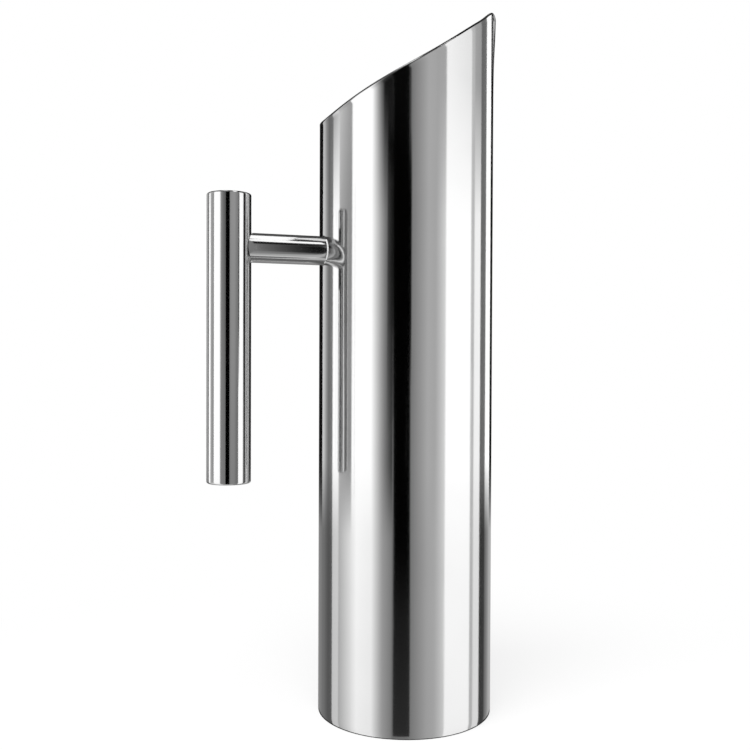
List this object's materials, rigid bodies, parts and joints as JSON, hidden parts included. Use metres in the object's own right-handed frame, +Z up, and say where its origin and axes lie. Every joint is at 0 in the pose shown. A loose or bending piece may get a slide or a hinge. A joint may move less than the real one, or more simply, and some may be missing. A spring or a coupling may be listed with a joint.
{
  "type": "water pitcher",
  "caption": "Tall round steel water pitcher: a plain tube with a slanted mouth and a pressed pour lip, and a straight bar grip held off the wall by a short stem.",
  "frame": {"origin": "middle of the flat underside, on the body tube's axis", "axes": "+Z up along the tube, +X to the pour lip, -X to the handle, +Y across"},
  "size_m": [0.1436, 0.085, 0.3411],
  "materials": {
    "mirror_steel": "mirror-polished stainless steel",
    "satin_steel": "fine satin stainless steel",
    "machined_steel": "turned stainless steel",
    "seal_rubber": "matt translucent silicone"
  },
  "bodies": {
    "root": {"body_shell": "mirror_steel", "base_dish": "satin_steel", "handle_stem": "mirror_steel", "grip_tube": "mirror_steel", "grip_cap_top": "mirror_steel", "grip_cap_bottom": "mirror_steel", "grip_block": "machined_steel", "handle_screw": "machined_steel", "saddle_washer": "machined_steel", "wall_seal": "seal_rubber"}
  },
  "joints": []
}
